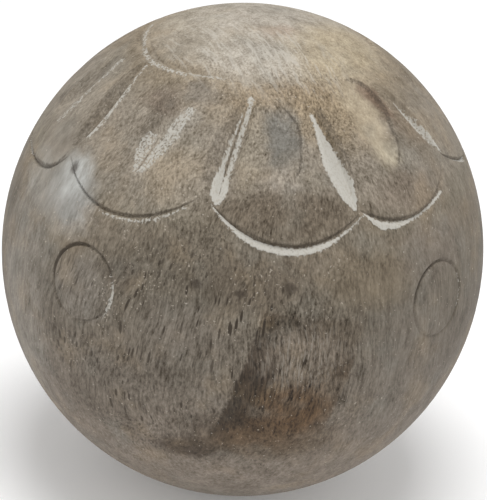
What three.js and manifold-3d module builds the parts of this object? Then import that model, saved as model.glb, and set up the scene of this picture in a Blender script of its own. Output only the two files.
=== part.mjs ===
// A decorative ball turned from one block of mango wood, with an open flower of eight petals
// cut into its upper half and four plain rings cut round its middle. It is one solid: the
// carving is all cut away from the turned ball, and nothing is added to it.
//
// Places on the ball are given the way a turner marks them out: "tilt" is the angle down from
// the top of the ball, and "turn" is the angle round its upright axis, 0 at the front (-Y) and
// growing towards +X. Lengths are in millimetres and angles in degrees.
import * as THREE from 'three';
import { mergeVertices } from 'three/addons/utils/BufferGeometryUtils.js';
import Module from 'manifold-3d';

// The turned ball, a little taller than it is wide, with a small flat that it stands on.
const BALL_RADIUS = 50;
const BALL_HALF_HEIGHT = 51.5;
const FOOT_RADIUS = 9;
const BALL_SIDES = 60;
const BALL_ROWS = 30;

// The groove round the flower's plain centre. It was started at the back left and runs off
// true, and it is shallowest where it passes the front right.
const CENTRE_TILT = 28;
const CENTRE_OFF_TRUE = 2.5;
const CENTRE_DEEPEST_TURN = -130;
const CENTRE_GROOVE_HALF_WIDTH = 0.95;
const CENTRE_GROOVE_DEPTH = 0.6;
const CENTRE_GROOVE_SHALLOWEST = 0.25;
const CENTRE_GROOVE_SIDES = 48;

// The eight petals, set out by eye, so no two are quite alike. Each entry holds the seam on
// the petal's left, its scalloped lip and the scoop down its middle:
//   seam   turn of the seam's lower and upper end, and how far it bows out to the right
//   wide   the seam's width left and right of its deepest line
//   from   turn and tilt where the lip leaves the left seam
//   to     turn and tilt where it reaches the next one
//   lip    tilt of the lip's lowest point
//   cut    the lip groove's greatest width below its deepest line
//   blunt  2 for a lip that is an even curve, and more for one with a flatter foot
//   scoop  turn at the scoop's upper and lower end, its tilt there, its half width, and how
//          far along it is widest
const PETALS = [
  {
    seam: { foot: -56.5, top: -59.5, bow: 3.2, start: 30.5, end: 57 },
    wide: { left: 3.6, right: 1.1 },
    from: [-56, 57.5], to: [-13, 56.5], lip: 64.1, cut: 0.6, blunt: 2,
    scoop: { turns: [-27, -33.5], tilts: [34.5, 55], halfWidth: 3.3, widest: 0.5 },
  },
  {
    seam: { foot: -8.5, top: -1.5, bow: 0.5, start: 31, end: 57 },
    wide: { left: 2.8, right: 1.7 },
    from: [-9, 57], to: [30, 58.3], lip: 64.4, cut: 1.6, blunt: 2,
    scoop: { turns: [10.5, 9], tilts: [32, 51], halfWidth: 3.3, widest: 0.45 },
  },
  {
    seam: { foot: 29, top: 22, bow: 1.8, start: 34, end: 57.5 },
    wide: { left: 3.2, right: 1.1 },
    from: [30, 57.5], to: [69, 52.5], lip: 61.1, cut: 1.5, blunt: 2,
    scoop: { turns: [45, 46.5], tilts: [27, 51], halfWidth: 5, widest: 0.4 },
  },
  {
    seam: { foot: 68.5, top: 63, bow: 0.8, start: 30.5, end: 52 },
    wide: { left: 3, right: 1.2 },
    from: [69, 52], to: [116, 56.5], lip: 59.6, cut: 0.9, blunt: 2,
    scoop: { turns: [91, 92], tilts: [32, 50], halfWidth: 3.6, widest: 0.4 },
  },
  {
    seam: { foot: 116, top: 113, bow: 0.8, start: 31, end: 56 },
    wide: { left: 3, right: 1.4 },
    from: [116, 56.5], to: [163, 57.5], lip: 63.2, cut: 0.8, blunt: 2,
    scoop: { turns: [138, 139.5], tilts: [33, 52], halfWidth: 3.5, widest: 0.45 },
  },
  {
    seam: { foot: 163, top: 164, bow: 0.6, start: 31.5, end: 57 },
    wide: { left: 3.1, right: 1.5 },
    from: [163, 57.5], to: [210, 57], lip: 64.2, cut: 0.9, blunt: 2,
    scoop: { turns: [187, 186], tilts: [34, 53], halfWidth: 3.4, widest: 0.5 },
  },
  {
    seam: { foot: 210, top: 212, bow: 0.8, start: 32, end: 56.5 },
    wide: { left: 3.2, right: 1.3 },
    from: [210, 57], to: [258, 57], lip: 63.8, cut: 0.8, blunt: 2,
    scoop: { turns: [235, 234], tilts: [35, 53.5], halfWidth: 3.4, widest: 0.5 },
  },
  {
    seam: { foot: 258, top: 256, bow: 1, start: 31.5, end: 56.5 },
    wide: { left: 3.2, right: 1.4 },
    from: [258, 57], to: [304, 57.5], lip: 64.6, cut: 0.7, blunt: 4.5,
    scoop: { turns: [283, 283], tilts: [35, 56], halfWidth: 3.6, widest: 0.5 },
  },
];
const SEAM_DEPTH = 1.35;
const SEAM_WIDEST = 0.6;
const SEAM_STEPS = 9;
const SCOOP_DEPTH = 0.95;
const SCOOP_STEPS = 8;
const SCOOP_FACETS = 5;
const SCOOP_FLARE = 1.4;
const LIP_DEPTH = 0.65;
const LIP_UPPER_WIDTH = 0.45;
const LIP_WIDEST = 0.5;
const LIP_STEPS = 12;

// The four rings round the middle of the ball, one below every second petal.
const RING_COUNT = 4;
const RING_FIRST_TURN = -37.6;
const RING_TILT = 81.2;
const RING_RADIUS = 7.6;
const RING_HALF_WIDTH = 0.5;
const RING_DEPTH = 0.55;
const RING_SIDES = 24;

// Working values that follow from the sizes above.
const FOOT_TILT = 180 - THREE.MathUtils.radToDeg(Math.asin(FOOT_RADIUS / BALL_RADIUS));
const CENTRE_HEIGHT = -BALL_HALF_HEIGHT * Math.cos(THREE.MathUtils.degToRad(FOOT_TILT));
const MERGE_DISTANCE = 1e-5;
const LEAST_WIDTH = 0.05;
const RUN_OUT_DEPTH = 0.02;
const TOOL_RADIUS = 1;
const TOOL_THICKNESS = 0.5;
const SQUARE_SIDES = 4;
const TANGENT_STEP = 1e-3;

const wasm = await Module();
wasm.setup();

// The point of the ball's skin at a tilt and turn, raised by a height along the skin's normal.
function onBall(tilt, turn, height) {
  const down = THREE.MathUtils.degToRad(tilt);
  const round = THREE.MathUtils.degToRad(turn);
  const east = Math.sin(down) * Math.sin(round);
  const north = -Math.sin(down) * Math.cos(round);
  const skin = new THREE.Vector3(
    BALL_RADIUS * east,
    BALL_RADIUS * north,
    BALL_HALF_HEIGHT * Math.cos(down) + CENTRE_HEIGHT,
  );
  const normal = new THREE.Vector3(
    east / BALL_RADIUS,
    north / BALL_RADIUS,
    Math.cos(down) / BALL_HALF_HEIGHT,
  ).normalize();
  return skin.addScaledVector(normal, height);
}

// A closed geometry as a solid that can be cut: doubled corners are joined, and triangles that
// shrank to a line at a pole are dropped.
function solidOf(geometry) {
  geometry.deleteAttribute('normal');
  geometry.deleteAttribute('uv');
  const merged = mergeVertices(geometry, MERGE_DISTANCE);
  const corners = merged.getIndex().array;
  const kept = [];
  for (let i = 0; i < corners.length; i += 3) {
    const [a, b, c] = corners.slice(i, i + 3);
    if (a !== b && b !== c && c !== a) {
      kept.push(a, b, c);
    }
  }
  return new wasm.Manifold(new wasm.Mesh({
    numProp: 3,
    vertProperties: Float32Array.from(merged.getAttribute('position').array),
    triVerts: Uint32Array.from(kept),
  }));
}

// The turned ball: half an ellipse, cut off level at the foot, spun round the upright axis.
function turnedBall() {
  const profile = [new THREE.Vector2(0, 0)];
  for (let row = 0; row <= BALL_ROWS; row += 1) {
    const down = THREE.MathUtils.degToRad(FOOT_TILT * (1 - row / BALL_ROWS));
    const radius = row === BALL_ROWS ? 0 : BALL_RADIUS * Math.sin(down);
    const height = row === 0 ? 0 : BALL_HALF_HEIGHT * Math.cos(down) + CENTRE_HEIGHT;
    profile.push(new THREE.Vector2(radius, height));
  }
  const ball = new THREE.LatheGeometry(profile, BALL_SIDES);
  ball.rotateX(Math.PI / 2);
  return solidOf(ball);
}

// Bends a straight or round cutter on to the ball. Each corner of the cutter is first read as
// how far it is along the cut (0 to 1), across it (1 at the edge on the right hand of someone
// who walks along the cut, -1 at the edge on the left hand) and above it (0 at the skin, -1 at
// the bottom). The cut gives its path over the ball, its width on each hand and its depth.
function bendOnToBall(cutter, readCorner, cut) {
  const corners = cutter.getAttribute('position');
  for (let i = 0; i < corners.count; i += 1) {
    const corner = readCorner(corners.getX(i), corners.getY(i), corners.getZ(i));
    const here = cut.path(corner.along);
    const next = cut.path(corner.along + TANGENT_STEP);
    const eastPerDegree = BALL_RADIUS * Math.sin(THREE.MathUtils.degToRad(here.tilt));
    const heading = new THREE.Vector2(
      (next.turn - here.turn) * eastPerDegree,
      (next.tilt - here.tilt) * BALL_HALF_HEIGHT,
    ).normalize();
    const width = corner.across < 0 ? cut.leftHand : cut.rightHand;
    const sideways = corner.across * width(corner.along);
    const turn = here.turn + THREE.MathUtils.radToDeg(heading.y * -sideways / eastPerDegree);
    const tilt = here.tilt + THREE.MathUtils.radToDeg(heading.x * sideways / BALL_HALF_HEIGHT);
    const point = onBall(tilt, turn, corner.above * cut.depth(corner.along));
    corners.setXYZ(i, point.x, point.y, point.z);
  }
  return solidOf(cutter);
}

// A cut with two ends, made by a straight bar of the given section.
function openCut(section, steps, cut) {
  const bar = new THREE.ExtrudeGeometry(section, { depth: 1, steps, bevelEnabled: false });
  return bendOnToBall(bar, (x, y, z) => ({ along: z, across: -x, above: y }), cut);
}

// A groove that closes on itself, made by a ring of square section stood on its edge.
function closedCut(sides, cut) {
  const ring = new THREE.TorusGeometry(TOOL_RADIUS, TOOL_THICKNESS, SQUARE_SIDES, sides);
  const readCorner = (x, y, z) => ({
    along: Math.atan2(y, x) / (2 * Math.PI),
    across: (Math.hypot(x, y) - TOOL_RADIUS) / TOOL_THICKNESS,
    above: z / TOOL_THICKNESS,
  });
  return bendOnToBall(ring, readCorner, cut);
}

// The section of a V tool. Its sides run on above the skin at the same slope.
function veeSection() {
  return new THREE.Shape([
    new THREE.Vector2(0, -1),
    new THREE.Vector2(2, 1),
    new THREE.Vector2(-2, 1),
  ]);
}

// The section of a round gouge: a hollow curve up to the skin, then a plain block above it.
function gougeSection() {
  const points = [];
  for (let i = 0; i <= SCOOP_FACETS; i += 1) {
    const across = (2 * i) / SCOOP_FACETS - 1;
    points.push(new THREE.Vector2(across, across * across - 1));
  }
  points.push(new THREE.Vector2(SCOOP_FLARE, 1));
  points.push(new THREE.Vector2(-SCOOP_FLARE, 1));
  return new THREE.Shape(points);
}

// How full a cut is along its length: nothing at its ends, 1 where it is widest.
function fullness(along, widest) {
  const s = THREE.MathUtils.clamp(along, 0, 1);
  const rise = Math.min(s / widest, 1);
  const fall = Math.min((1 - s) / (1 - widest), 1);
  return Math.sin(rise * Math.PI / 2) * Math.sin(fall * Math.PI / 2);
}

// A cut's depth at a fullness: its ends stay a hair above the skin, so that they run out thin.
function runOut(full, depth) {
  return Math.max(full * depth, RUN_OUT_DEPTH);
}

// The chip cut on a petal's left, from just below the flower's centre down to the lip.
function seamCut({ seam, wide }) {
  const full = (along) => fullness(along, SEAM_WIDEST);
  return openCut(veeSection(), SEAM_STEPS, {
    path: (along) => ({
      turn: THREE.MathUtils.lerp(seam.top, seam.foot, along) + seam.bow * 4 * along * (1 - along),
      tilt: THREE.MathUtils.lerp(seam.start, seam.end, along),
    }),
    leftHand: (along) => Math.max(wide.right * full(along), LEAST_WIDTH),
    rightHand: (along) => Math.max(wide.left * full(along), LEAST_WIDTH),
    depth: (along) => runOut(full(along), SEAM_DEPTH),
  });
}

// The shallow scoop down the middle of a petal.
function scoopCut({ scoop }) {
  const full = (along) => fullness(along, scoop.widest);
  const halfWidth = (along) => Math.max(scoop.halfWidth * Math.sqrt(full(along)), LEAST_WIDTH);
  return openCut(gougeSection(), SCOOP_STEPS, {
    path: (along) => ({
      turn: THREE.MathUtils.lerp(scoop.turns[0], scoop.turns[1], along),
      tilt: THREE.MathUtils.lerp(scoop.tilts[0], scoop.tilts[1], along),
    }),
    leftHand: halfWidth,
    rightHand: halfWidth,
    depth: (along) => runOut(full(along), SCOOP_DEPTH),
  });
}

// The groove under a petal's lip, steep on the petal's side and laid back below it.
function lipCut({ from, to, lip, cut, blunt }) {
  const sag = lip - (from[1] + to[1]) / 2;
  const full = (along) => Math.sqrt(fullness(along, LIP_WIDEST));
  const hang = (along) => 1 - Math.abs(2 * along - 1) ** blunt;
  return openCut(veeSection(), LIP_STEPS, {
    path: (along) => ({
      turn: THREE.MathUtils.lerp(from[0], to[0], along),
      tilt: THREE.MathUtils.lerp(from[1], to[1], along) + sag * hang(along),
    }),
    leftHand: (along) => Math.max(LIP_UPPER_WIDTH * full(along), LEAST_WIDTH),
    rightHand: (along) => Math.max(cut * full(along), LEAST_WIDTH),
    depth: (along) => runOut(full(along), LIP_DEPTH),
  });
}

// The groove round the flower's centre.
function centreCut() {
  const swing = (along) => Math.cos(THREE.MathUtils.degToRad(360 * along - CENTRE_DEEPEST_TURN));
  return closedCut(CENTRE_GROOVE_SIDES, {
    path: (along) => ({
      turn: 360 * along,
      tilt: CENTRE_TILT + CENTRE_OFF_TRUE * swing(along),
    }),
    leftHand: () => CENTRE_GROOVE_HALF_WIDTH,
    rightHand: () => CENTRE_GROOVE_HALF_WIDTH,
    depth: (along) => THREE.MathUtils.mapLinear(
      swing(along), -1, 1, CENTRE_GROOVE_SHALLOWEST, CENTRE_GROOVE_DEPTH,
    ),
  });
}

// One plain ring, struck round a point on the side of the ball.
function ringCut(turn) {
  const reach = THREE.MathUtils.radToDeg(RING_RADIUS / BALL_HALF_HEIGHT);
  const widening = 1 / Math.sin(THREE.MathUtils.degToRad(RING_TILT));
  return closedCut(RING_SIDES, {
    path: (along) => ({
      turn: turn + reach * widening * Math.cos(2 * Math.PI * along),
      tilt: RING_TILT + reach * Math.sin(2 * Math.PI * along),
    }),
    leftHand: () => RING_HALF_WIDTH,
    rightHand: () => RING_HALF_WIDTH,
    depth: () => RING_DEPTH,
  });
}

// All the carving is cut from the ball in the order that a carver would work.
let carved = turnedBall();
carved = carved.subtract(centreCut());
for (const petal of PETALS) {
  carved = carved.subtract(scoopCut(petal));
  carved = carved.subtract(seamCut(petal));
  carved = carved.subtract(lipCut(petal));
}
for (let i = 0; i < RING_COUNT; i += 1) {
  carved = carved.subtract(ringCut(RING_FIRST_TURN + (360 / RING_COUNT) * i));
}

const carvedMesh = carved.getMesh();
const ballGeometry = new THREE.BufferGeometry();
ballGeometry.setAttribute('position', new THREE.BufferAttribute(carvedMesh.vertProperties, 3));
ballGeometry.setIndex(new THREE.BufferAttribute(carvedMesh.triVerts, 1));
ballGeometry.computeVertexNormals();

const greyWashedMango = new THREE.MeshStandardMaterial({
  color: 0x857b70,
  roughness: 0.72,
  metalness: 0,
});

const ball = new THREE.Mesh(ballGeometry, greyWashedMango);
ball.name = 'ball';

const decorativeBall = new THREE.Group();
decorativeBall.add(ball);

export default decorativeBall;
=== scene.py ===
"""The looks of a carved, lime-washed wooden ball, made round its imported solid."""

import math

import bmesh
import bpy
import numpy as np
from mathutils import Matrix, Quaternion, Vector


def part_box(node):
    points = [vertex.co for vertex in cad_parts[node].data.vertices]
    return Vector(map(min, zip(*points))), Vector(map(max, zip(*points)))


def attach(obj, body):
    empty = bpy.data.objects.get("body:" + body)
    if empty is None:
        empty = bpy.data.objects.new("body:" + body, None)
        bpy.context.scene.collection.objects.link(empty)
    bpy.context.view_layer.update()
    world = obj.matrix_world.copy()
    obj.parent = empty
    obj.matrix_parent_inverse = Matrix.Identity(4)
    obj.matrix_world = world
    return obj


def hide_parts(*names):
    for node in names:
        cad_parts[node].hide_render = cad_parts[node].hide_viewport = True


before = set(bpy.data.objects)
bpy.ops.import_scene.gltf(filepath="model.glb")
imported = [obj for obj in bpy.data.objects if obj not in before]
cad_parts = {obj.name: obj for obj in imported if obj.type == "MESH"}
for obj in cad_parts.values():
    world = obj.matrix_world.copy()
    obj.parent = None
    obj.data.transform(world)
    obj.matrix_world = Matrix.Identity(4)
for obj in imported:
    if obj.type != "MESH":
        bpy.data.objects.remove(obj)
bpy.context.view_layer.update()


# ---- The turned ball ---------------------------------------------------------------------
# One block of mango wood, turned on a lathe a little taller than it is wide, then sanded
# flat over a small spot underneath so that it stands. The carving is cut into this skin.
# It is worked in millimetres about its own middle, and goes to metres when it is finished.

MM = 0.001
FOOT_RADIUS = 9.0
SKIN_SIDES = 144
SKIN_ROWS = 72

node_low, node_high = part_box("ball")
BALL_RADIUS = (node_high.x - node_low.x) / 2 / MM
BALL_HEIGHT = (node_high.z - node_low.z) / MM
FOOT_COSINE = math.sqrt(1 - (FOOT_RADIUS / BALL_RADIUS) ** 2)
HALF_HEIGHT = BALL_HEIGHT / (1 + FOOT_COSINE)
CENTRE_HEIGHT = HALF_HEIGHT * FOOT_COSINE


def corners_of(mesh):
    """The mesh's corner places as rows of x, y and z."""
    places = np.empty(len(mesh.vertices) * 3)
    mesh.vertices.foreach_get("co", places)
    return places.reshape(-1, 3)


def marking_out(places):
    """The tilt down from the top and the turn round from the front, in degrees, of places
    given about the middle of a ball of radius 1."""
    tilt = np.degrees(np.arctan2(np.hypot(places[:, 0], places[:, 1]), places[:, 2]))
    turn = np.degrees(np.arctan2(places[:, 0], -places[:, 1]))
    return tilt, turn


bpy.ops.object.select_all(action="DESELECT")
bpy.ops.mesh.primitive_uv_sphere_add(segments=SKIN_SIDES, ring_count=SKIN_ROWS, radius=1)
ball = bpy.context.object
ball.name = "carved_ball"


# ---- The carving -------------------------------------------------------------------------
# An open flower of eight petals round a plain centre, and four plain rings below it, all cut
# by hand with a V tool and a round gouge after the ball was turned. The petals were set out
# by eye, so no two are alike. Tilt and turn are in degrees, widths and depths in mm.

CENTRE_TILT = 28.0
CENTRE_OFF_TRUE = 2.5
CENTRE_DEEPEST_TURN = -130.0
CENTRE_HALF_WIDTH = 0.95
CENTRE_DEPTHS = (0.25, 0.6)

PETALS = (
    dict(seam_turns=(-59.5, -56.5), seam_bow=3.2, seam_tilts=(30.5, 57), seam_widths=(3.6, 1.1),
         lip_from=(-56, 57.5), lip_to=(-13, 56.5), lip_tilt=64.1, lip_cut=0.6,
         scoop_turns=(-27, -33.5), scoop_tilts=(34.5, 55), scoop_width=3.3, scoop_widest=0.5),
    dict(seam_turns=(-1.5, -8.5), seam_bow=0.5, seam_tilts=(31, 57), seam_widths=(2.8, 1.7),
         lip_from=(-9, 57), lip_to=(30, 58.3), lip_tilt=64.4, lip_cut=1.6,
         scoop_turns=(10.5, 9), scoop_tilts=(32, 51), scoop_width=3.3, scoop_widest=0.45),
    dict(seam_turns=(22, 29), seam_bow=1.8, seam_tilts=(34, 57.5), seam_widths=(3.2, 1.1),
         lip_from=(30, 57.5), lip_to=(69, 52.5), lip_tilt=61.1, lip_cut=1.5,
         scoop_turns=(45, 46.5), scoop_tilts=(27, 51), scoop_width=5, scoop_widest=0.4),
    dict(seam_turns=(63, 68.5), seam_bow=0.8, seam_tilts=(30.5, 52), seam_widths=(3, 1.2),
         lip_from=(69, 52), lip_to=(116, 56.5), lip_tilt=59.6, lip_cut=0.9,
         scoop_turns=(91, 92), scoop_tilts=(32, 50), scoop_width=3.6, scoop_widest=0.4),
    dict(seam_turns=(113, 116), seam_bow=0.8, seam_tilts=(31, 56), seam_widths=(3, 1.4),
         lip_from=(116, 56.5), lip_to=(163, 57.5), lip_tilt=63.2, lip_cut=0.8,
         scoop_turns=(138, 139.5), scoop_tilts=(33, 52), scoop_width=3.5, scoop_widest=0.45),
    dict(seam_turns=(164, 163), seam_bow=0.6, seam_tilts=(31.5, 57), seam_widths=(3.1, 1.5),
         lip_from=(163, 57.5), lip_to=(210, 57), lip_tilt=64.2, lip_cut=0.9,
         scoop_turns=(187, 186), scoop_tilts=(34, 53), scoop_width=3.4, scoop_widest=0.5),
    dict(seam_turns=(212, 210), seam_bow=0.8, seam_tilts=(32, 56.5), seam_widths=(3.2, 1.3),
         lip_from=(210, 57), lip_to=(258, 57), lip_tilt=63.8, lip_cut=0.8,
         scoop_turns=(235, 234), scoop_tilts=(35, 53.5), scoop_width=3.4, scoop_widest=0.5),
    dict(seam_turns=(256, 258), seam_bow=1, seam_tilts=(31.5, 56.5), seam_widths=(3.2, 1.4),
         lip_from=(258, 57), lip_to=(304, 57.5), lip_tilt=64.6, lip_cut=0.7, lip_blunt=4.5,
         scoop_turns=(283, 283), scoop_tilts=(35, 56), scoop_width=3.6, scoop_widest=0.5),
)
SEAM_DEPTH = 1.35
SCOOP_DEPTH = 0.95
LIP_DEPTH = 0.65
LIP_UPPER_WIDTH = 0.45

RING_TURNS = (-37.6, 52.4, 142.4, 232.4)
RING_TILT = 81.2
RING_RADIUS = 7.6
RING_HALF_WIDTH = 0.5
RING_DEPTH = 0.55
# The bearing, up from a ring's right-hand side, where it is cut deepest, and the share of
# that depth that is missing on the far side.
RING_HEAVIEST_BEARING = 110.0
RING_UNEVENNESS = 0.6

DEEPEST = SEAM_DEPTH


def turn_past(turn, start):
    """How far each turn is past a starting turn, from -180 to 180 degrees."""
    return (turn - start + 180) % 360 - 180


def east_of(turn_gap, tilt):
    """A difference in turn as millimetres round the ball at a tilt."""
    return np.radians(turn_gap) * BALL_RADIUS * np.sin(np.radians(tilt))


def south_of(tilt_gap):
    """A difference in tilt as millimetres down the ball."""
    return np.radians(tilt_gap) * HALF_HEIGHT


def fullness(along, widest):
    """How full a cut is along its length: nothing at its ends, 1 where it is widest."""
    rise = np.clip(along / widest, 0, 1)
    fall = np.clip((1 - along) / (1 - widest), 0, 1)
    return np.sin(rise * math.pi / 2) * np.sin(fall * math.pi / 2)


def vee(offset, low_side, high_side, grow):
    """The depth, from 0 to 1, of a V cut at an offset from its deepest line. Its sides may
    have different widths, and grow widens both."""
    width = np.where(offset < 0, low_side, high_side) + grow
    height = np.clip(1 - np.abs(offset) / np.maximum(width, 1e-6), 0, 1)
    return height ** 1.5 * (2.2 - 1.2 * height)


def seam_depth(petal, tilt, turn, grow=0.0):
    start, end = petal["seam_tilts"]
    top, foot = petal["seam_turns"]
    along = (tilt - start) / (end - start)
    middle = top + (foot - top) * along + petal["seam_bow"] * 4 * along * (1 - along)
    offset = east_of(turn_past(turn, middle), tilt)
    full = fullness(along, 0.6)
    left, right = petal["seam_widths"]
    return SEAM_DEPTH * full * vee(offset, left * full, right * full, grow)


def scoop_depth(petal, tilt, turn, grow=0.0):
    start, end = petal["scoop_tilts"]
    top, foot = petal["scoop_turns"]
    along = (tilt - start) / (end - start)
    middle = top + (foot - top) * along
    offset = east_of(turn_past(turn, middle), tilt)
    full = fullness(along, petal["scoop_widest"])
    width = np.maximum(petal["scoop_width"] * np.sqrt(full) + grow, 1e-6)
    return SCOOP_DEPTH * full * np.clip(1 - (offset / width) ** 2, 0, 1)


def lip_depth(petal, tilt, turn, grow=0.0):
    (first, first_tilt), (last, last_tilt) = petal["lip_from"], petal["lip_to"]
    span = last - first
    middle_turn = (first + last) / 2
    along = 0.5 + turn_past(turn, middle_turn) / span
    sag = petal["lip_tilt"] - (first_tilt + last_tilt) / 2
    blunt = petal.get("lip_blunt", 2)
    past_middle = 2 * along - 1
    middle = first_tilt + (last_tilt - first_tilt) * along + sag * (1 - np.abs(past_middle) ** blunt)
    bend = -2 * sag * blunt * np.sign(past_middle) * np.abs(past_middle) ** (blunt - 1)
    slope = (last_tilt - first_tilt + bend) / span
    steepness = slope * HALF_HEIGHT / (BALL_RADIUS * math.sin(math.radians(petal["lip_tilt"])))
    offset = south_of(tilt - middle) / np.sqrt(1 + steepness ** 2)
    full = np.sqrt(fullness(along, 0.5))
    upper, lower = LIP_UPPER_WIDTH * full, petal["lip_cut"] * full
    return LIP_DEPTH * full * vee(offset, upper, lower, grow)


def centre_depth(tilt, turn, grow=0.0):
    swing = np.cos(np.radians(turn - CENTRE_DEEPEST_TURN))
    offset = south_of(tilt - CENTRE_TILT - CENTRE_OFF_TRUE * swing)
    shallow, deep = CENTRE_DEPTHS
    depth = shallow + (deep - shallow) * (swing + 1) / 2
    return depth * vee(offset, CENTRE_HALF_WIDTH, CENTRE_HALF_WIDTH, grow)


def ring_depth(ring_turn, tilt, turn, grow=0.0):
    east = np.radians(turn_past(turn, ring_turn)) * BALL_RADIUS * math.sin(math.radians(RING_TILT))
    south = south_of(tilt - RING_TILT)
    offset = np.hypot(east, south) - RING_RADIUS
    heavier = np.cos(np.arctan2(-south, east) - math.radians(RING_HEAVIEST_BEARING))
    depth = RING_DEPTH * (1 - RING_UNEVENNESS * (1 - heavier) / 2)
    return depth * vee(offset, RING_HALF_WIDTH, RING_HALF_WIDTH, grow)


def carved_depth(tilt, turn, grow=0.0, scoops=True, seams=True):
    """The depth of the carving, in millimetres, where all the cuts are made together. The
    lips and rings are always among them."""
    cuts = [ring_depth(ring_turn, tilt, turn, grow) for ring_turn in RING_TURNS]
    for petal in PETALS:
        cuts.append(lip_depth(petal, tilt, turn, grow))
        if seams:
            cuts.append(seam_depth(petal, tilt, turn, grow))
        if scoops:
            cuts.append(scoop_depth(petal, tilt, turn, grow))
    if seams:
        cuts.append(centre_depth(tilt, turn, grow))
    return np.max(cuts, axis=0)


# ---- The lime, and the grime and painted shade, in the cuts ------------------------------
# White lime wash was brushed over the carving and wiped off, so it stays where a cut's wall
# held it, thick in some and thin in others. Old brown stain and painted shade lie along the
# walls it missed, the ones that face away from the overhead light.
# Each streak is a run of stations along its cut, with its two edges at each of them.

WASH_SOFTNESS = 0.8
SHADE_LINE_SOFTNESS = 0.35

# Down the seams and scoops: tilts, then the turns of the left and the right edge.
LIMED_DOWN = (
    ((31, 35, 39.5, 43.5, 47.5, 50.5, 53), (-59, -57.6, -55.4, -54.8, -54.4, -55, -55.8),
     (-56.4, -54.6, -52, -51.4, -51, -52.2, -53.2), 0.6),
    ((31, 35, 39.5, 43.5, 47.5, 51), (-3.6, -5, -6.6, -8, -9, -9.6), (-0.9, -1.7, -2.9, -3.9, -4.6, -5.4),
     0.7),
    ((48.6, 50.4, 52, 53.5, 55.2, 57), (-8.2, -9.3, -9.9, -10, -9.7, -8.5),
     (-7.6, -6.2, -5.4, -5.3, -5.9, -7.1), 1.2),
    ((35, 38, 43, 47, 51, 55, 57.5), (20.6, 21, 21.3, 21.6, 23.3, 25.8, 28.4),
     (21.5, 23.4, 26.7, 28.4, 30, 29.8, 29.4), 1.1),
    ((36.5, 39.5, 41.5, 45, 49, 52), (63.6, 64.6, 65.6, 67, 68, 69.4),
     (64.8, 66.6, 67.8, 69.2, 69.8, 70.4), 0.75),
    ((36.5, 41, 45, 49, 54), (-26, -29.4, -29.8, -31, -32.4), (-21.6, -23, -23.8, -25.8, -29.4), 0.6),
    ((44.5, 47, 51, 54.5), (-34.4, -35.6, -35.2, -33.2), (-31.2, -31.2, -31.2, -31.4), 0.58),
    ((34, 40, 48, 55), (-75, -73.4, -72, -73.6), (-72, -69.8, -68.8, -71.2), 0.5),
)
# Grime and painted shade down the seam and scoop walls that face away from the overhead light.
GRIME_AND_SHADE_DOWN = (
    ((32, 36.5, 40, 44.5, 48.5, 52, 56), (-62, -63, -62.4, -60.4, -59.4, -58.8, -57.8),
     (-59.2, -57, -55.2, -54.6, -54.2, -55.4, -56), 0.62),
    ((32, 38, 43, 48, 53), (-6.4, -10.6, -13, -13.8, -13), (-3.6, -5.4, -7, -8.6, -10), 0.6),
    ((33.5, 38, 42, 46, 52), (22, 24.2, 26.8, 29, 30.2), (26.4, 28.6, 29.8, 30.6, 30.9), 0.7),
    ((32.5, 34, 35.5, 37.5, 40, 43, 46, 48.5, 50), (8.6, 11, 12.9, 14.4, 15, 14.8, 14.4, 13.5, 12.4),
     (9.4, 12.4, 14.3, 15.8, 16.3, 15.9, 15.4, 14.6, 13), 0.95),
    ((27, 29, 31, 34, 37, 41, 46, 50), (44, 50, 52.6, 53.6, 53.6, 51.8, 50.4, 46.6),
     (50, 55, 56.6, 57, 56.6, 54.2, 52.2, 48.2), 0.72),
    ((36, 42, 47, 53), (-37.6, -38, -36.8, -33), (-31, -32.4, -33.2, -32), 0.56),
    ((34, 39.5, 43.5, 47.5, 53), (-80.5, -80.5, -82.5, -85.5, -86.5), (-77, -73, -73, -76, -79), 0.58),
)
# Thin lines of painted shade along the edges of narrow slots in the cuts, kept dark through the lime.
SHADE_LINES_DOWN = (
    ((33, 36.5, 41, 45, 50, 55), (-3.8, -4.6, -5.8, -6.7, -7.4, -7.7), (-3.5, -4.3, -5.5, -6.3, -7, -7.5),
     1.1),
    ((34, 36, 41, 46, 51), (-1.4, -1.8, -2.9, -4.1, -4.7), (-1.1, -1.5, -2.6, -3.8, -4.4), 0.9),
    ((45.5, 49, 53.5), (-31.1, -31.3, -31.9), (-30.7, -30.9, -31.5), 1.1),
)
# Along the lips: turns, then the tilts of the upper and the lower edge.
LIMED_ALONG = (
    ((-38, -36, -31, -27, -23, -19.5, -15), (64.5, 64.5, 64.3, 63.8, 62.6, 60.8, 58.2),
     (65.1, 65.3, 65, 64.6, 63.4, 61.6, 58.8), 0.72),
    ((-9, -5, -1, 3, 8, 13, 18.5, 21, 24, 27, 31),
     (57, 59.4, 61.6, 63.3, 64.4, 64.8, 64, 63.3, 62.3, 60.8, 58.4),
     (57.6, 60.6, 63.4, 65.2, 66.2, 66.5, 65.6, 64.6, 63, 61.3, 58.9), 0.9),
    ((31, 33.5, 36, 40.5, 45, 50, 55, 61), (58, 59.4, 60.6, 61.5, 61.5, 61.1, 60.1, 58.7),
     (58.6, 61, 62.5, 62.9, 62.4, 61.7, 60.8, 59.3), 1.0),
    ((-105, -85, -72.5, -66, -56.5, -41.5, -30, -16), (27, 27.4, 28.4, 28.9, 29.3, 28.8, 27.4, 26.6),
     (28, 28.9, 30, 30.5, 30.9, 30.3, 28.8, 27.6), 0.58),
    ((72, 77.5, 83.5, 90), (53.2, 55.8, 57.6, 58.8), (53.8, 56.5, 58.9, 59.8), 0.9),
)
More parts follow.
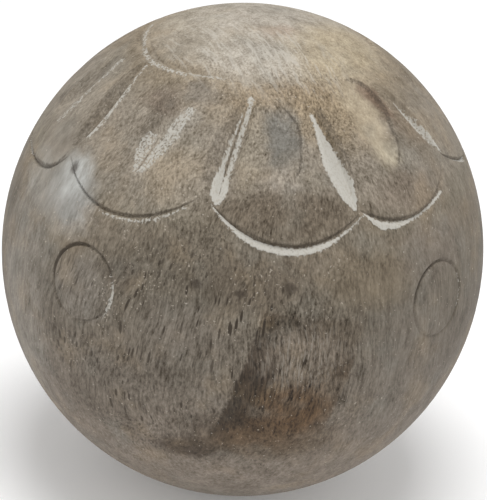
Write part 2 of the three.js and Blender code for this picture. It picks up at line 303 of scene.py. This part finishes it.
# Grime and painted shade along the lips and the centre groove, on walls that face away from the light.
GRIME_AND_SHADE_ALONG = (
    ((-52, -48, -45, -42, -38.5, -32, -26, -22), (59.6, 61, 61.8, 62.5, 63.2, 63.3, 62.8, 61.4),
     (60.4, 62.2, 63, 63.7, 64.4, 64.5, 63.9, 62.2), 0.5),
    ((-95, -78.5, -68, -56, -44, -36), (26.3, 26.5, 27, 27.9, 28.3, 28), (27.2, 27.5, 28.1, 29, 29.2, 28.6),
     0.55),
    ((-3, 1.5, 7, 13, 19, 26), (59.8, 61.7, 63.4, 63.8, 63, 60.4),
     (60.3, 62.5, 64.4, 64.9, 64, 61), 0.85),
    ((31, 33.5, 36, 41, 47, 54), (57.3, 58.3, 59.4, 60.3, 60.5, 59.4),
     (57.9, 59.2, 60.5, 61.4, 61.5, 60.2), 0.8),
    ((-78, -71, -66, -62, -59.5, -57.5), (64, 63.6, 63, 62, 60.3, 57),
     (65, 65, 64.4, 63.7, 62, 58.6), 0.8),
)
LIME_IN_HIDDEN_CUTS = 0.62
GRIME_AND_SHADE_IN_HIDDEN_CUTS = 0.6
HIDDEN_FROM, HIDDEN_TO = 95.0, 285.0
LIME_RISE, RIM_RISE = 2, 8
RIM_WIDTH = 0.35
GRIME_AND_SHADE_ON_UPPER_WALLS = 0.62
WALL_STEP, WALL_RISE = 0.2, 12
RINGS_KEPT = (1.0, 0.55, 0.8, 0.7)


def streak(along, across, along_mm, across_mm, grow, softness, stations, first_edge, second_edge,
           amount):
    """How surely each place lies in a streak: half its amount on the edge, all of it well
    inside. The two mm values turn degrees along and across it into millimetres."""
    first = np.interp(along, stations, first_edge)
    second = np.interp(along, stations, second_edge)
    inside = np.minimum(across - first, second - across) * across_mm + grow
    ends = np.minimum(along - stations[0], stations[-1] - along) * along_mm + grow
    return amount * np.clip(0.5 + np.minimum(inside, ends) / softness, 0, 1)


def streaks_of(down, beside, tilt, turn, grow=0.0, softness=WASH_SOFTNESS):
    """How surely each place lies in any of the streaks, each widened by so many mm."""
    east_mm = math.radians(1) * BALL_RADIUS * np.sin(np.radians(tilt))
    south_mm = math.radians(1) * HALF_HEIGHT
    found = np.zeros(len(tilt))
    for stroke in down:
        np.maximum(found, streak(tilt, turn, south_mm, east_mm, grow, softness, *stroke), out=found)
    for stroke in beside:
        np.maximum(found, streak(turn, tilt, east_mm, south_mm, grow, softness, *stroke), out=found)
    return found


def mark_on(mesh, name, amounts):
    """Keeps one number for each corner of the mesh, for its material to read."""
    layer = mesh.attributes.new(name, "FLOAT", "POINT")
    layer.data.foreach_set("value", np.asarray(amounts, dtype=np.float32))


# The skin is divided more finely the nearer it is to a cut or a streak: four times over, each
# time within a narrower margin in mm. The last time it is only at the lips and rings.
for margin, scoops, seams, streaks in (
    (1.6, True, True, True), (0.8, True, True, True), (0.3, False, True, True),
    (0.0, False, False, False),
):
    faces = ball.data.polygons
    middles = np.empty(len(faces) * 3)
    faces.foreach_get("center", middles)
    tilt, turn = marking_out(middles.reshape(-1, 3))
    near = carved_depth(tilt, turn, margin, scoops, seams) > 0
    if streaks:
        down = LIMED_DOWN + GRIME_AND_SHADE_DOWN + SHADE_LINES_DOWN
        near |= streaks_of(down, LIMED_ALONG + GRIME_AND_SHADE_ALONG, tilt, turn, margin) > 0
    bpy.ops.object.mode_set(mode="EDIT")
    bpy.ops.mesh.select_mode(type="FACE")
    bpy.ops.mesh.select_all(action="DESELECT")
    mesh = bmesh.from_edit_mesh(ball.data)
    for face, chosen in zip(mesh.faces, near):
        face.select_set(bool(chosen))
    bmesh.update_edit_mesh(ball.data)
    bpy.ops.mesh.subdivide(number_cuts=1)
    bpy.ops.object.mode_set(mode="OBJECT")

# The new corners are pulled out to the round skin, and what every corner needs for the cuts
# and for the finish is marked on it, before the skin is stretched to its true size.
cast = ball.modifiers.new("true_round", "CAST")
cast.factor = 1.0
cast.size = 1.0
cast.use_radius_as_size = False
bpy.ops.object.modifier_apply(modifier=cast.name)

tilt, turn = marking_out(corners_of(ball.data))
depth = carved_depth(tilt, turn)
cut_group = ball.vertex_groups.new(name="cut_depth")
for corner in np.flatnonzero(depth):
    cut_group.add([int(corner)], float(depth[corner] / DEEPEST), "REPLACE")

lime = streaks_of(LIMED_DOWN, LIMED_ALONG, tilt, turn)
# Grime and painted shade on cut walls facing away from the light; thin lines of painted shade.
grime_and_shade = streaks_of(GRIME_AND_SHADE_DOWN, GRIME_AND_SHADE_ALONG, tilt, turn)
shade_lines = streaks_of(SHADE_LINES_DOWN, (), tilt, turn, 0.0, SHADE_LINE_SOFTNESS)

# Round the back every seam and lip holds a little lime on its long wall, and a little grime
# and painted shade on its short one.
hidden = (turn % 360 > HIDDEN_FROM) & (turn % 360 < HIDDEN_TO)
for petal in PETALS:
    for cut_depth, deepest in ((seam_depth, SEAM_DEPTH), (lip_depth, LIP_DEPTH)):
        held = np.where(hidden, cut_depth(petal, tilt, turn) / deepest, 0)
        np.maximum(lime, LIME_IN_HIDDEN_CUTS * np.clip(held * LIME_RISE, 0, 1), out=lime)
        edge = np.where(hidden, cut_depth(petal, tilt, turn, RIM_WIDTH) / deepest, 0)
        rim = np.clip(edge * RIM_RISE, 0, 1) * (held <= 0)
        np.maximum(grime_and_shade, GRIME_AND_SHADE_IN_HIDDEN_CUTS * rim, out=grime_and_shade)

# The upper wall of a lip faces down, away from the overhead light: it gets grime from the rag
# and painted shade, and no lime.
for petal in PETALS:
    below, above = (lip_depth(petal, tilt + step, turn) for step in (WALL_STEP, -WALL_STEP))
    upper_wall = np.clip((below - above) * WALL_RISE, 0, 1)
    lime *= 1 - upper_wall
    np.maximum(grime_and_shade, GRIME_AND_SHADE_ON_UPPER_WALLS * upper_wall, out=grime_and_shade)

# The rings hold lime on one side and grime with painted shade on the other, where their walls
# face away from the overhead light, and some are rubbed nearly clean.
# Each mark: its wash, its bearing up from the right, how full it is there and in how many
# degrees it fades, how far it lies inside the ring in mm, how full it is on that line and in
# how many mm it fades, and its strength.
RING_MARKS = (
    (lime, -4, 1.3, 42, 0.0, 1.5, 0.4, 0.75),
    (grime_and_shade, 142, 1.8, 38, 0.0, 1.5, 0.4, 1.5),
    (grime_and_shade, -52, 1.4, 60, 0.35, 1.3, 0.35, 0.8),
)
for ring_turn, kept in zip(RING_TURNS, RINGS_KEPT):
    east = east_of(turn_past(turn, ring_turn), RING_TILT)
    south = south_of(tilt - RING_TILT)
    past_edge = np.hypot(east, south) - RING_RADIUS
    bearing = np.degrees(np.arctan2(-south, east))
    for wash, middle, full_round, fade_round, inside, full_across, fade_across, strength in RING_MARKS:
        across = np.clip(full_across - np.abs(past_edge + inside) / fade_across, 0, 1)
        toward = np.clip(full_round - np.abs(turn_past(bearing, middle)) / fade_round, 0, 1)
        np.maximum(wash, strength * kept * across * toward, out=wash)

mark_on(ball.data, "lime", np.clip(lime - shade_lines, 0, None))
mark_on(ball.data, "grime_and_shade", np.maximum(grime_and_shade, shade_lines))

bpy.ops.object.mode_set(mode="EDIT")
bpy.ops.mesh.select_all(action="SELECT")
bpy.ops.transform.resize(
    value=(BALL_RADIUS * MM, BALL_RADIUS * MM, HALF_HEIGHT * MM), center_override=(0, 0, 0)
)
bpy.ops.transform.translate(value=(0, 0, CENTRE_HEIGHT * MM))
bpy.ops.mesh.bisect(
    plane_co=(0, 0, 0), plane_no=(0, 0, 1), use_fill=True, clear_inner=True, threshold=1e-7
)
bpy.ops.object.mode_set(mode="OBJECT")

carve = ball.modifiers.new("carve", "DISPLACE")
carve.vertex_group = cut_group.name
carve.direction = "NORMAL"
carve.mid_level = 0.0
carve.strength = -DEEPEST * MM
bpy.ops.object.modifier_apply(modifier=carve.name)
bpy.ops.object.shade_smooth()


# ---- The washed wood ---------------------------------------------------------------------
# Mango wood, turned with its grain upright, stained grey-brown, rubbed with thin lime wash and
# waxed matt. Its pores are short dark slots down the sides and dots on top, where the wash is
# palest and sits in them as white specks.

# Roughness, relief, and how far in mm a blot reaches through the skin and noise stirs things.
WAX_ROUGHNESS = 0.68
LIME_DULLER = 0.15
PORES_DULLER = 0.1
WOOD_SPECULAR = 0.28
RELIEF_STRENGTH = 0.7
RELIEF_MM = 0.25
BLOT_REACH = 25.0
GRAIN_WANDER = 4.0
STAIN_STIR = 3.5
PANEL_FRAY = 2.0
DENT_FRAY = 1.2


def paint(hex_code):
    """An sRGB hex colour as a linear colour with full cover."""
    parts = [int(hex_code[start:start + 2], 16) / 255 for start in (0, 2, 4)]
    linear = [(part + 0.055) / 1.055 for part in parts]
    return (*[part / 12.92 if part <= 0.04045 else bright ** 2.4
              for part, bright in zip(parts, linear)], 1.0)


def add_node(tree, kind, inputs=None, **settings):
    """A new node with its settings made and its inputs set, or linked where one is given
    another node's output."""
    node = tree.nodes.new("ShaderNode" + kind)
    for name, setting in settings.items():
        setattr(node, name, setting)
    for socket, given in (inputs or {}).items():
        if isinstance(given, bpy.types.NodeSocket):
            tree.links.new(given, node.inputs[socket])
        else:
            node.inputs[socket].default_value = given
    return node


wood = bpy.data.materials.new("washed_mango_wood")
wood.use_nodes = True
tree = wood.node_tree
shader = tree.nodes["Principled BSDF"]
MIX_AMOUNT, MIX_UNDER, MIX_OVER, MIXED = 0, 6, 7, 2

# Everything is measured in millimetres from the middle of the ball.
place = add_node(tree, "TexCoord").outputs["Object"]
middle_mm = add_node(tree, "Mapping", {
    "Vector": place, "Location": (0, 0, -CENTRE_HEIGHT), "Scale": (1 / MM, 1 / MM, 1 / MM),
}).outputs["Vector"]


def times(first, second):
    """The product of two numbers."""
    return add_node(tree, "Math", {0: first, 1: second}, operation="MULTIPLY").outputs[0]


def plus(first, second, factor=1.0):
    """The first number and the second one times a factor, added up."""
    return add_node(tree, "Math", {0: second, 1: factor, 2: first},
                    operation="MULTIPLY_ADD").outputs[0]


def eased(value, low, high, bottom=0.0, top=1.0):
    """The value eased from bottom to top as it goes from low to high."""
    return add_node(tree, "MapRange", {
        "Value": value, "From Min": low, "From Max": high, "To Min": bottom, "To Max": top,
    }, interpolation_type="SMOOTHSTEP").outputs["Result"]


def stirred(vector, pattern, reach):
    """A place moved about by a coloured noise, up to half its reach each way."""
    centred = add_node(tree, "VectorMath", {0: pattern, 1: (0.5, 0.5, 0.5)},
                       operation="SUBTRACT").outputs[0]
    return add_node(tree, "VectorMath", {0: centred, 1: (reach, reach, reach), 2: vector},
                    operation="MULTIPLY_ADD").outputs[0]


# The grain leans a little and fans out across the front, as it does near a branch.
parts_mm = add_node(tree, "SeparateXYZ", {"Vector": middle_mm})
lean = add_node(tree, "MapRange", {
    "Value": parts_mm.outputs["X"], "From Min": -20.0, "From Max": 22.0,
    "To Min": -0.13, "To Max": 0.07,
}).outputs["Result"]
leant_x = add_node(tree, "Math", {0: lean, 1: parts_mm.outputs["Z"], 2: parts_mm.outputs["X"]},
                   operation="MULTIPLY_ADD").outputs[0]
leant = add_node(tree, "CombineXYZ", {
    "X": leant_x, "Y": parts_mm.outputs["Y"], "Z": parts_mm.outputs["Z"],
}).outputs["Vector"]
wander = add_node(tree, "TexNoise", {"Vector": leant, "Scale": 0.07, "Detail": 1.0})
grain_mm = stirred(leant, wander.outputs["Color"], GRAIN_WANDER)


def grain_noise(across, length, shift=0.0, detail=2.0, roughness=0.6):
    """A noise whose marks are about so many millimetres across and along the grain."""
    return add_node(tree, "TexNoise", {
        "Vector": add_node(tree, "Mapping", {
            "Vector": grain_mm, "Location": (shift, shift, shift),
            "Scale": (1 / across, 1 / across, 1 / length),
        }).outputs["Vector"],
        "Scale": 1.0, "Detail": detail, "Roughness": roughness,
    })


fibre = grain_noise(0.42, 1.0, 0.0, 2.0, 0.7).outputs["Fac"]
strand = grain_noise(0.6, 6.0, 4.1, 2.0, 0.6).outputs["Fac"]
mottle = grain_noise(2.6, 6.0, 7.3, 3.0, 0.6).outputs["Fac"]
fray = grain_noise(0.5, 0.9, 5.1, 2.0, 0.7).outputs["Color"]
drift = add_node(tree, "TexNoise", {"Vector": middle_mm, "Scale": 0.1, "Detail": 3.0})
crumbs = add_node(tree, "TexNoise", {"Vector": middle_mm, "Scale": 1.9, "Detail": 1.0}).outputs["Fac"]
pore_cells = add_node(tree, "TexVoronoi", {
    "Vector": add_node(tree, "Mapping", {
        "Vector": grain_mm, "Scale": (1 / 0.9, 1 / 0.9, 1 / 5.5)}).outputs["Vector"],
    "Scale": 1.0,
})

# Edges of stains are stirred softly, and edges of bare places are frayed along the grain.
stir = add_node(tree, "TexNoise", {"Vector": middle_mm, "Scale": 0.35, "Detail": 2.0})
soft_mm = stirred(middle_mm, stir.outputs["Color"], STAIN_STIR)
frayed_mm = stirred(middle_mm, fray, PANEL_FRAY)


def blot(turn, tilt, across, down, lean=0.0, softness=0.5, around=soft_mm, square=False):
    """How fully each place is covered by a blot on the skin, at a turn and tilt, with half
    sizes in millimetres and its top leant to the right by some degrees."""
    turned, tilted = math.radians(turn), math.radians(tilt)
    spot = Vector((
        BALL_RADIUS * math.sin(tilted) * math.sin(turned),
        -BALL_RADIUS * math.sin(tilted) * math.cos(turned),
        HALF_HEIGHT * math.cos(tilted),
    ))
    out = Vector((spot.x, spot.y, spot.z * (BALL_RADIUS / HALF_HEIGHT) ** 2)).normalized()
    east = Vector((math.cos(turned), math.sin(turned), 0))
    axes = Matrix((east, out.cross(east), out)).transposed()
    leaning = axes @ Matrix.Rotation(-math.radians(lean), 3, "Z")
    own = add_node(tree, "Mapping", {
        "Vector": around, "Location": spot, "Rotation": leaning.to_euler(),
        "Scale": (across, down, BLOT_REACH),
    }, vector_type="TEXTURE").outputs["Vector"]
    if square:
        own = add_node(tree, "VectorMath", {0: own, 1: own}, operation="MULTIPLY").outputs[0]
        own = add_node(tree, "VectorMath", {0: own, 1: own}, operation="MULTIPLY").outputs[0]
        low, high = (1 + softness) ** 4, (1 - softness) ** 4
    else:
        low, high = 1 + softness, 1 - softness
    reach = add_node(tree, "VectorMath", {0: own}, operation="LENGTH").outputs["Value"]
    return eased(reach, low, high)


def laid_over(under, over, cover, strength=1.0):
    """A finish laid over another, as far as its cover goes and at most to its strength."""
    return add_node(tree, "Mix", {
        MIX_AMOUNT: times(cover, strength), MIX_UNDER: under, MIX_OVER: over,
    }, data_type="RGBA").outputs[MIXED]


# The stain and wash as they change from the top of the ball down to its foot, with painted
# light in them: the top is lighter partly from paler wash and partly as painted light from
# overhead, and the lower half grows lighter again toward the foot as painted light bounced
# up from the floor. Tilt, colour.
TONES_WITH_PAINTED_LIGHT = (
    (0, "A1998D"), (20, "9C9384"), (26, "918573"), (32, "807462"), (42, "80776A"),
    (54, "7E7568"), (61, "787062"), (66, "716759"), (78, "686054"), (100, "6A6156"),
    # From here to the foot the colour lightens as painted light bounced up from the floor.
    (116, "72685D"), (128, "7A7065"), (145, "857B70"), (180, "857B70"),
)
height = add_node(tree, "MapRange", {
    "Value": add_node(tree, "SeparateXYZ", {"Vector": soft_mm}).outputs["Z"],
    "From Min": -HALF_HEIGHT, "From Max": HALF_HEIGHT,
}).outputs["Result"]
tone_ramp = add_node(tree, "ValToRGB", {"Fac": height})
stops = tone_ramp.color_ramp.elements
stops.remove(stops[0])
for stop, (tone_tilt, tone) in enumerate(TONES_WITH_PAINTED_LIGHT):
    at = (1 + math.cos(math.radians(tone_tilt))) / 2
    element = stops[0] if stop == 0 else stops.new(at)
    element.position = at
    element.color = paint(tone)
colour = tone_ramp.outputs["Color"]

# Stains, bare places and hazes of lime, with one patch of painted light and one of painted
# shade: turn, tilt, half width, half height, lean, colour and strength.
STAINS_AND_PAINTED_LIGHT = (
    (26, 8, 3.5, 2.2, 0, "9A8676", 0.5),
    (66, 19, 12, 8, 0, "A3957C", 0.8),
    (-8, 20, 9, 5.5, 0, "AAA398", 0.6),
    (-60, 23, 7, 3.5, 0, "91887A", 0.6),
    (16, 30.5, 12, 3.5, 0, "84745E", 0.7),
    (-27.5, 45, 2.6, 8.5, 24, "9A9388", 0.55),
    (30, 36, 8, 7, 15, "85755D", 0.6),
    (-24, 32.5, 4.5, 2.6, 0, "716A61", 0.65),
    (-36, 37, 4, 3, 0, "6C5F53", 0.65),
    (-34, 59, 9, 3.2, 0, "7C7468", 0.6),
    (-22, 50, 6, 7, 0, "8D8271", 0.6),
    (10, 40.5, 3.3, 6.6, -2, "6F6C65", 0.9),
    (9, 46, 2.4, 3, 0, "69655D", 0.7),
    (10.5, 51, 3, 3.4, 0, "8C857B", 0.8),
    (11, 58, 15, 5, 0, "665B4D", 0.9),
    (0, 46, 2.2, 7, 6, "8A8171", 0.6),
    (44, 38, 3.6, 9, -6, "A39680", 0.9),
    (46, 47, 3, 2.6, 0, "A89D88", 0.8),
    # Painted shade on the right wall of the wide scoop past seam C, which faces away from the light.
    (54.5, 35, 1.8, 5.5, -10, "6C594A", 0.85),
    (50, 56, 10, 4.6, 0, "73675A", 0.7),
    (61, 45, 3.2, 8, -10, "746757", 0.7),
    (-65, 58, 6, 5, 0, "8F867A", 0.6),
    (-74, 44, 8, 10, 0, "8F8678", 0.5),
    (-61, 66.5, 8, 4.6, 15, "918F88", 0.85),
    (-49, 66, 7, 6, 15, "959490", 0.8),
    (-51, 61.5, 4.6, 4.8, 10, "A9A9A5", 0.9),
    (-12, 70, 13, 6.5, 0, "5F574B", 0.75),
    (4, 73, 9, 6, 0, "5E5447", 0.7),
    (-38, 82, 6.4, 6.6, 0, "7A736A", 0.6),
    # Painted light: the lower left side made lighter, as light from the side brightens it.
    (-60, 90, 9, 26, 0, "817A70", 0.75),
    (-8, 116, 7.5, 3.4, -12, "3E3328", 0.85),
    (-3, 110, 5, 5, 0, "4B4034", 0.6),
    (12, 112, 12, 5, 0, "5E4F3D", 0.7),
    (-24, 98, 10, 8, 0, "625A50", 0.5),
    (-30, 112, 9, 5, 0, "5D5449", 0.5),
    (-12, 84, 8, 5, 0, "6E665C", 0.6),
    (-27, 76, 4, 3.4, 0, "574D41", 0.6),
    (45, 98, 11, 18, 0, "726A60", 0.6),
    (32, 72, 10, 6, 0, "6F6351", 0.6),
    (52, 70, 9, 6, 0, "736A60", 0.6),
)
for turn_at, tilt_at, across, down, lean_at, tone, strength in STAINS_AND_PAINTED_LIGHT:
    colour = laid_over(colour, paint(tone), blot(turn_at, tilt_at, across, down, lean_at), strength)

# On the front the wash has worn through over a panel with straight edges above and to the
# left, where old brown stain shows.
past_left = blot(13.2, 98.6, 10.4, 24, 14, 0.05, frayed_mm, square=True)
past_top = blot(18, 99, 24, 17, 6, 0.04, frayed_mm, square=True)
worn = times(times(past_left, past_top), blot(8, 94, 20, 18, 12, 0.35))
worn_tone = paint("62574A")
# Old stain inside the panel, given as the stains are.
for turn_at, tilt_at, across, down, lean_at, tone, strength in (
    (5, 96, 4.2, 13, 15, "382D22", 0.95),
    (2, 105, 5.6, 8, 15, "362C21", 0.95),
    (11, 81.6, 8, 2.2, 0, "453A2C", 0.85),
    (26, 83, 7, 2.8, 0, "524738", 0.7),
    (25, 91.5, 6.5, 2.6, 10, "483B2C", 0.95),
    (15, 103, 8, 6.5, 10, "523E29", 0.95),
    (8, 112, 8, 5, 0, "574532", 0.9),
    (16, 88, 8, 5, 0, "675D51", 0.9),
):
    cover = blot(turn_at, tilt_at, across, down, lean_at)
    worn_tone = laid_over(worn_tone, paint(tone), cover, strength)
colour = laid_over(colour, worn_tone, worn)

# Warm and grey clouds drift through the stain.
clouds = add_node(tree, "SeparateColor", {"Color": drift.outputs["Color"]})
colour = laid_over(colour, paint("7C6B53"), eased(clouds.outputs["Red"], 0.5, 0.7), 0.3)
colour = laid_over(colour, paint("74726A"), eased(clouds.outputs["Green"], 0.5, 0.72), 0.3)

# How much of the grain shows: most where the wash is worn, least where it was sanded smooth.
# Turn, tilt, half width and half height, then what a place adds or what it leaves.
showing = 0.34
for turn_at, tilt_at, across, down, strength in (
    (0, 45, 34, 20, 0.26), (-6, 92, 34, 26, 0.3), (14, 92, 12, 14, 0.4), (22, 33, 12, 8, 0.2),
):
    showing = plus(showing, blot(turn_at, tilt_at, across, down), strength)
for turn_at, tilt_at, across, down, left in (
    (-54, 63, 9, 7.5, 0.3), (9.5, 41, 3, 6, 0.7), (44.5, 39, 4, 9, 0.4), (-65, 58, 6, 6, 0.5),
):
    showing = times(showing, eased(blot(turn_at, tilt_at, across, down), 0, 1, 1.0, left))

# Fibres and strands lighten and darken the wood, the dark ones browner and the light ones
# greyer.
swing = times(plus(plus(fibre, -0.5), plus(strand, -0.5), 1.0), showing)
swing = plus(times(swing, 2.8), plus(mottle, -0.5), 1.1)
swing = plus(swing, plus(drift.outputs["Fac"], -0.5), 0.6)
tint = add_node(tree, "VectorMath", {0: (0.95, 1.0, 1.08), "Scale": swing},
                operation="SCALE").outputs[0]
tint = add_node(tree, "VectorMath", {0: tint, 1: (1, 1, 1)}, operation="ADD").outputs[0]
colour = add_node(tree, "VectorMath", {0: colour, 1: tint}, operation="MULTIPLY").outputs[0]

# The pores: only some cells of wood have an open one, and they gather in drifts. They were
# filled with wash nearly everywhere but low on the front.
open_wood = 0.12
for turn_at, tilt_at, across, down, strength in (
    (-14, 94, 32, 20, 0.8), (-8, 72, 24, 9, 0.35), (14, 90, 12, 12, 0.4),
):
    open_wood = plus(open_wood, blot(turn_at, tilt_at, across, down), strength)
pore_pick = add_node(tree, "SeparateColor", {"Color": pore_cells.outputs["Color"]})
pore_size = eased(drift.outputs["Fac"], 0.36, 0.6, 0.15, 0.34)
pore_edge = plus(pore_size, pore_cells.outputs["Distance"], -1.0)
pores = times(eased(pore_edge, -0.03, 0.1), eased(pore_pick.outputs["Red"], 0.25, 0.6))
shown_pores = times(pores, open_wood)
colour = laid_over(colour, paint("372F26"), shown_pores, 0.85)

# White crumbs of wash caught in the fibres, in clusters.
clustered = 0.0
for turn_at, tilt_at, across, down, strength in (
    (-13, 76, 7, 3, 0.04), (-24, 80, 5, 7, 0.03), (-30.5, 83, 1.8, 7, 0.07), (-14, 57, 4, 2.6, 0.08),
    (6, 71, 8, 2, 0.03),
):
    clustered = plus(clustered, blot(turn_at, tilt_at, across, down), strength)
crumb_field = plus(plus(crumbs, clustered), drift.outputs["Fac"], 0.15)
shown_crumbs = eased(crumb_field, 0.785, 0.84)
colour = laid_over(colour, paint("B0A698"), shown_crumbs, 0.6)

# Lime streaks down the grain in the upper half of the worn panel.
lime_lines = grain_noise(0.4, 2.6, 9.7).outputs["Fac"]
lines_cover = times(eased(lime_lines, 0.5, 0.62), blot(15.5, 88.5, 8, 6.2))
colour = laid_over(colour, paint("8A8277"), lines_cover, 0.7)

# Brush strokes of lime over the centre of the flower, laid slantwise.
strokes = add_node(tree, "TexNoise", {
    "Vector": add_node(tree, "Mapping", {
        "Vector": middle_mm, "Rotation": (0, 0, math.radians(30)), "Scale": (0.8, 5, 30),
    }, vector_type="TEXTURE").outputs["Vector"],
    "Scale": 1.0, "Detail": 2.0, "Roughness": 0.6,
}).outputs["Fac"]
centre_blot = blot(-10, 17, 17, 9.5)
colour = laid_over(colour, paint("B5AFA4"), times(eased(strokes, 0.5, 0.66), centre_blot), 0.6)
colour = laid_over(colour, paint("857B6C"), times(eased(strokes, 0.45, 0.33), centre_blot), 0.35)

# Dark dents below the flower, and one where two petals meet.
for turn_at, tilt_at, across, down in (
    (-9.5, 74, 1.0, 0.9), (0.4, 74.8, 1.1, 0.7), (11.5, 73.2, 1.3, 1.0), (-51.8, 59.2, 0.9, 1.2),
):
    dent = blot(turn_at, tilt_at, across, down, 0, 0.55, stirred(middle_mm, fray, DENT_FRAY))
    colour = laid_over(colour, paint("362D24"), dent, 0.7)

# Lime held by the cuts, and grime with painted shade on their walls that face away from the
# overhead light, with edges broken up by the fibres.
kept_lime = add_node(tree, "Attribute", attribute_name="lime").outputs["Fac"]
kept_grime_and_shade = add_node(tree, "Attribute", attribute_name="grime_and_shade").outputs["Fac"]
fray_parts = add_node(tree, "SeparateColor", {"Color": fray})
grime_and_shade_cover = eased(plus(kept_grime_and_shade, plus(fray_parts.outputs["Blue"], -0.5), 1.1), 0.3, 1.0)
lime_field = plus(plus(kept_lime, plus(fray_parts.outputs["Red"], -0.5), 1.5),
                  plus(crumbs, -0.5), 1.0)
lime_cover = eased(lime_field, 0.36, 0.7)
# Grime and painted shade on the cut walls.
colour = laid_over(colour, paint("3B3228"), grime_and_shade_cover, 0.72)
lime_tone = laid_over(paint("B6B3AB"), paint("A0998D"), eased(fibre, 0.5, 0.66), 0.6)
thick = eased(kept_lime, 0.4, 0.8, 0.7, 0.95)
colour = laid_over(colour, lime_tone, times(lime_cover, thick))
tree.links.new(colour, shader.inputs["Base Color"])

# Wax is a little glossier than lime and than the pores. Fibres and lime stand a little proud,
# and pores lie deeper.
dullness = plus(plus(WAX_ROUGHNESS, lime_cover, LIME_DULLER), shown_pores, PORES_DULLER)
tree.links.new(dullness, shader.inputs["Roughness"])
shader.inputs["Specular IOR Level"].default_value = WOOD_SPECULAR

relief = plus(plus(times(fibre, 0.5), shown_pores, -0.5), lime_cover, 0.4)
bump = add_node(tree, "Bump", {
    "Height": relief, "Strength": RELIEF_STRENGTH, "Distance": RELIEF_MM * MM,
})
tree.links.new(bump.outputs["Normal"], shader.inputs["Normal"])
ball.data.materials.append(wood)

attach(ball, "root")
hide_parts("ball")


# ---- The floor and the light -------------------------------------------------------------
# A matt white board, faintly lit from below, in a light tent, with one broad soft light
# overhead, a low soft light at
# each side and a weak one in front.

FLOOR_HALF_WIDTH = 3.0
FLOOR_TONE = (0.9, 0.9, 0.9, 1)
FLOOR_GLOW = 0.1

bpy.ops.object.select_all(action="DESELECT")
bpy.ops.mesh.primitive_plane_add(size=2 * FLOOR_HALF_WIDTH)
floor = bpy.context.object
floor.name = "floor"
floor_paint = bpy.data.materials.new("matt_white_board")
floor_paint.use_nodes = True
floor_paint.node_tree.nodes["Principled BSDF"].inputs["Base Color"].default_value = FLOOR_TONE
floor_paint.node_tree.nodes["Principled BSDF"].inputs["Roughness"].default_value = 0.9
floor_paint.node_tree.nodes["Principled BSDF"].inputs["Emission Color"].default_value = (1, 1, 1, 1)
floor_paint.node_tree.nodes["Principled BSDF"].inputs["Emission Strength"].default_value = FLOOR_GLOW
floor.data.materials.append(floor_paint)

ball_middle = Vector((0, 0, CENTRE_HEIGHT * MM))
LAMPS = (
    ("overhead_softbox", (0, -0.1, 1.0), 0.5, 6.5),
    ("left_softbox", (-0.7, -0.1, 0.1), 0.6, 1.0),
    ("right_softbox", (0.7, -0.1, 0.1), 0.6, 0.85),
    ("front_softbox", (0, -0.7, 0.03), 0.4, 0.6),
)
for name, spot, size, power in LAMPS:
    bpy.ops.object.light_add(type="AREA", location=spot)
    lamp = bpy.context.object
    lamp.name = name
    lamp.rotation_mode = "QUATERNION"
    lamp.rotation_quaternion = (ball_middle - Vector(spot)).to_track_quat("-Z", "Y")
    lamp.data.shape = "SQUARE"
    lamp.data.size = size
    lamp.data.energy = power

SKY_STRENGTH = 0.58
world = bpy.data.worlds.new("light_tent")
world.use_nodes = True
world.node_tree.nodes["Background"].inputs["Color"].default_value = (1, 1, 1, 1)
world.node_tree.nodes["Background"].inputs["Strength"].default_value = SKY_STRENGTH
bpy.context.scene.world = world
bpy.context.scene.view_settings.view_transform = "Standard"


# ---- The camera --------------------------------------------------------------------------
# It looks down on the ball from close by, held a few degrees off level.

CAMERA_ELEVATION = 25.0
CAMERA_ROLL = 5.7
CAMERA_DISTANCE = 9 * BALL_RADIUS * MM
CAMERA_LENS = 155.1
CAMERA_SENSOR = 36.0
CAMERA_SHIFT = 0.002

elevation = math.radians(CAMERA_ELEVATION)
away = Vector((0, -math.cos(elevation), math.sin(elevation)))
bpy.ops.object.camera_add(location=ball_middle + away * CAMERA_DISTANCE)
camera = bpy.context.object
camera.rotation_mode = "QUATERNION"
level = (-away).to_track_quat("-Z", "Y")
camera.rotation_quaternion = level @ Quaternion((0, 0, 1), math.radians(CAMERA_ROLL))
camera.data.lens = CAMERA_LENS
camera.data.sensor_width = CAMERA_SENSOR
camera.data.shift_x = CAMERA_SHIFT
camera.data.dof.use_dof = False
camera.data.clip_start = 0.01
bpy.context.scene.camera = camera
